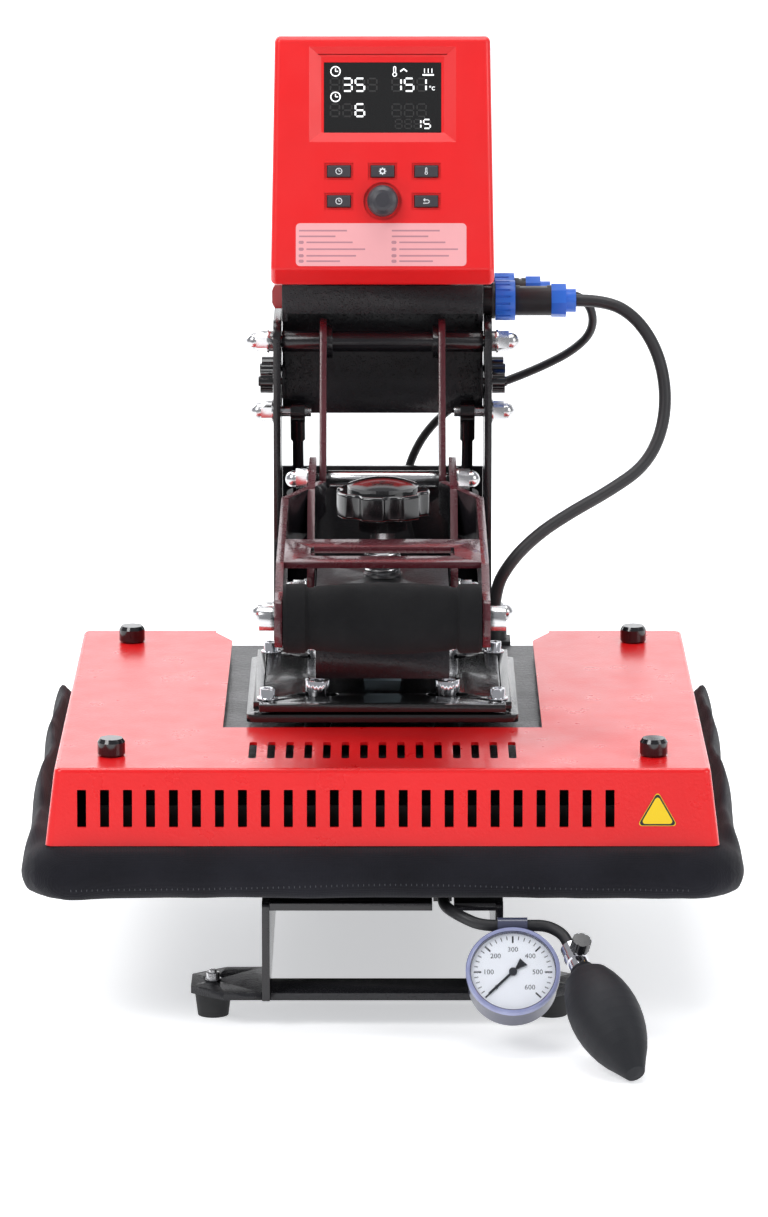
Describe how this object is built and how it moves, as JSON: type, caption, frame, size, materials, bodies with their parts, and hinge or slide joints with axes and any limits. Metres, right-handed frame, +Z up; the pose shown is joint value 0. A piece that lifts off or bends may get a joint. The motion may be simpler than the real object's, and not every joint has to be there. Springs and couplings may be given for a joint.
{
  "type": "heat press",
  "caption": "Clamshell heat press with a red heated platen, toggle lever, control head and an inflatable lower pad with a gauge and squeeze bulb.",
  "frame": {"origin": "centre of the box of the press at the floor, without the cables, hoses, gauge and bulb", "axes": "+Z up, -Y towards the operator, +X to the operator's right, +Y along the press from its pad to its posts"},
  "size_m": [0.468, 0.7279, 0.583],
  "materials": {
    "red_paint": "gloss powder coat",
    "red_head": "satin powder coat",
    "black_paint": "fine textured powder coat",
    "black_gloss_paint": "gloss powder coat",
    "pressure_plate_paint": "satin coat",
    "zinc": "zinc plated",
    "chrome": "polished",
    "heater_aluminium": "cast, coated face",
    "insulation": "dark mineral blanket",
    "black_plastic": "fine grain",
    "gloss_black_plastic": "gloss",
    "knob_plastic": "satin gloss",
    "blue_plastic": "satin",
    "button_plastic": "satin",
    "screen": "gloss",
    "switch_red": "gloss",
    "foot_rubber": "matte",
    "cable_rubber": "matte",
    "hose_rubber": "matte",
    "bulb_rubber": "matte",
    "foam": "closed-cell foam",
    "pad_fabric": "woven",
    "circuit_board": "solder mask",
    "gauge_case": "gloss",
    "needle": "matte"
  },
  "bodies": {
    "frame": {"frame_side_plates": "black_gloss_paint", "foot_bars": "black_paint", "rubber_feet": "foot_rubber", "frame_fasteners": "zinc", "frame_cross_plates": "black_gloss_paint", "lower_plate": "black_paint", "membrane_pad": "pad_fabric", "housing_shell": "black_paint", "housing_back_cover": "black_paint", "mains_inlet": "black_plastic", "circuit_boards": "circuit_board", "connector_sockets": "black_plastic", "connector_plugs": "black_plastic", "head_front_shell": "red_head", "head_rear_shell": "red_head", "screen_window": "screen", "gauge_body": "gauge_case", "valve_body": "chrome", "squeeze_bulb": "bulb_rubber", "heater_cable": "cable_rubber", "sensor_cable": "cable_rubber", "hose_to_gauge": "hose_rubber", "hose_to_bulb": "hose_rubber"},
    "arm": {"arm_box": "black_paint", "arm_pivot_tube": "black_paint", "arm_bolts": "zinc", "cable_gland": "black_plastic"},
    "lever": {"lever_plates": "black_gloss_paint", "grip_rod": "zinc", "foam_grip": "foam"},
    "link": {"link_yoke": "black_gloss_paint", "link_joint_bolt": "zinc"},
    "platen": {"upper_mount_plate": "pressure_plate_paint", "lower_mount_plate": "pressure_plate_paint", "thrust_block": "zinc", "mount_screws": "chrome", "heating_plate": "heater_aluminium", "insulation_blanket": "insulation", "heater_backing_plate": "black_paint", "platen_cover": "red_paint", "cover_caps": "gloss_black_plastic"},
    "pressure_spindle": {"spindle": "zinc", "pressure_knob": "knob_plastic"},
    "rods": {"strut_rods": "zinc"},
    "tubes": {"strut_tubes": "black_gloss_paint"},
    "switch": {"rocker_switch": "switch_red"},
    "ring_front": {"connector_ring_front": "blue_plastic"},
    "ring_rear": {"connector_ring_rear": "blue_plastic"},
    "encoder": {"encoder_knob": "gloss_black_plastic"},
    "clamp_front_left": {"clamp_knob_front_left": "knob_plastic"},
    "clamp_back_left": {"clamp_knob_back_left": "knob_plastic"},
    "clamp_front_right": {"clamp_knob_front_right": "knob_plastic"},
    "clamp_back_right": {"clamp_knob_back_right": "knob_plastic"},
    "needle": {"gauge_needle": "needle"},
    "release_valve": {"valve_knob": "gloss_black_plastic"},
    "key_timer": {"button_timer": "button_plastic"},
    "key_menu": {"button_menu": "button_plastic"},
    "key_heat": {"button_heat": "button_plastic"},
    "key_pre": {"button_pre": "button_plastic"},
    "key_back": {"button_back": "button_plastic"}
  },
  "joints": [
    {"name": "arm_hinge", "type": "hinge", "parent": "frame", "child": "arm", "pos_m": [0, 0.239, 0.164], "axis": [-1, 0, 0], "range_deg": [0, 35], "deforming": ["heater_cable"]},
    {"name": "lever_hinge", "type": "hinge", "parent": "arm", "child": "lever", "pos_m": [0, 0.029, 0.224], "axis": [-1, 0, 0], "range_deg": [0, 16.36]},
    {"name": "link_hinge", "type": "hinge", "parent": "frame", "child": "link", "pos_m": [0, 0.219, 0.365], "axis": [-1, 0, 0], "range_deg": [-35.73, 0]},
    {"name": "strut_swing", "type": "hinge", "parent": "frame", "child": "rods", "pos_m": [0, 0.234, 0.312], "axis": [-1, 0, 0], "range_deg": [0, 5.75]},
    {"name": "strut_slide", "type": "slide", "parent": "rods", "child": "tubes", "axis": [0, 0.2885, -0.9575], "range_m": [0, 0.0191]},
    {"name": "platen_slide", "type": "slide", "parent": "arm", "child": "platen", "axis": [0, 0, 1], "range_m": [0, 0.004]},
    {"name": "knob_turn", "type": "hinge", "parent": "platen", "child": "pressure_spindle", "pos_m": [0, -0.066, 0.3], "axis": [0, 0, 1], "range_deg": [0, 721]},
    {"name": "power_switch", "type": "hinge", "parent": "frame", "child": "switch", "pos_m": [-0.0655, 0.253, 0.3925], "axis": [0, 1, 0], "range_deg": [0, 14]},
    {"name": "ring_turn_front", "type": "hinge", "parent": "frame", "child": "ring_front", "pos_m": [0.087, 0.24, 0.391], "axis": [1, 0, 0], "range_deg": [0, 90]},
    {"name": "ring_turn_rear", "type": "hinge", "parent": "frame", "child": "ring_rear", "pos_m": [0.087, 0.274, 0.391], "axis": [1, 0, 0], "range_deg": [0, 90]},
    {"name": "encoder_turn", "type": "hinge", "parent": "frame", "child": "encoder", "pos_m": [0, 0.18032, 0.47088], "axis": [0, -0.9766, 0.215], "continuous": true},
    {"name": "needle_turn", "type": "hinge", "parent": "frame", "child": "needle", "pos_m": [0.083, -0.33, 0.053], "axis": [0, 0.7771, -0.6293], "range_deg": [0, 270]},
    {"name": "valve_turn", "type": "hinge", "parent": "frame", "child": "release_valve", "pos_m": [0.12307, -0.32518, 0.05892], "axis": [0.2018, -0.4679, 0.8604], "range_deg": [0, 180]},
    {"name": "clamp_turn_front_left", "type": "hinge", "parent": "frame", "child": "clamp_front_left", "pos_m": [-0.082, 0.226, 0.335], "axis": [1, 0, 0], "range_deg": [0, 720]},
    {"name": "clamp_turn_back_left", "type": "hinge", "parent": "frame", "child": "clamp_back_left", "pos_m": [-0.082, 0.28, 0.335], "axis": [1, 0, 0], "range_deg": [0, 720]},
    {"name": "clamp_turn_front_right", "type": "hinge", "parent": "frame", "child": "clamp_front_right", "pos_m": [0.082, 0.226, 0.335], "axis": [1, 0, 0], "range_deg": [-720, 0]},
    {"name": "clamp_turn_back_right", "type": "hinge", "parent": "frame", "child": "clamp_back_right", "pos_m": [0.082, 0.28, 0.335], "axis": [1, 0, 0], "range_deg": [-720, 0]},
    {"name": "press_timer", "type": "slide", "parent": "frame", "child": "key_timer", "axis": [0, 0.9766, -0.215], "range_m": [0, 0.001], "stiffness_N_per_m": 300},
    {"name": "press_menu", "type": "slide", "parent": "frame", "child": "key_menu", "axis": [0, 0.9766, -0.215], "range_m": [0, 0.001], "stiffness_N_per_m": 300},
    {"name": "press_heat", "type": "slide", "parent": "frame", "child": "key_heat", "axis": [0, 0.9766, -0.215], "range_m": [0, 0.001], "stiffness_N_per_m": 300},
    {"name": "press_pre", "type": "slide", "parent": "frame", "child": "key_pre", "axis": [0, 0.9766, -0.215], "range_m": [0, 0.001], "stiffness_N_per_m": 300},
    {"name": "press_back", "type": "slide", "parent": "frame", "child": "key_back", "axis": [0, 0.9766, -0.215], "range_m": [0, 0.001], "stiffness_N_per_m": 300}
  ],
  "couplings": [
    {"joint": "lever_hinge", "follows": "arm_hinge", "ratio": 0.46731},
    {"joint": "link_hinge", "follows": "arm_hinge", "ratio": -1.0206},
    {"joint": "strut_swing", "follows": "arm_hinge", "ratio": 0.164},
    {"joint": "strut_slide", "follows": "arm_hinge", "m_per_rad": 0.03122},
    {"joint": "knob_turn", "follows": "platen_slide", "rad_per_m": 3141.6}
  ]
}
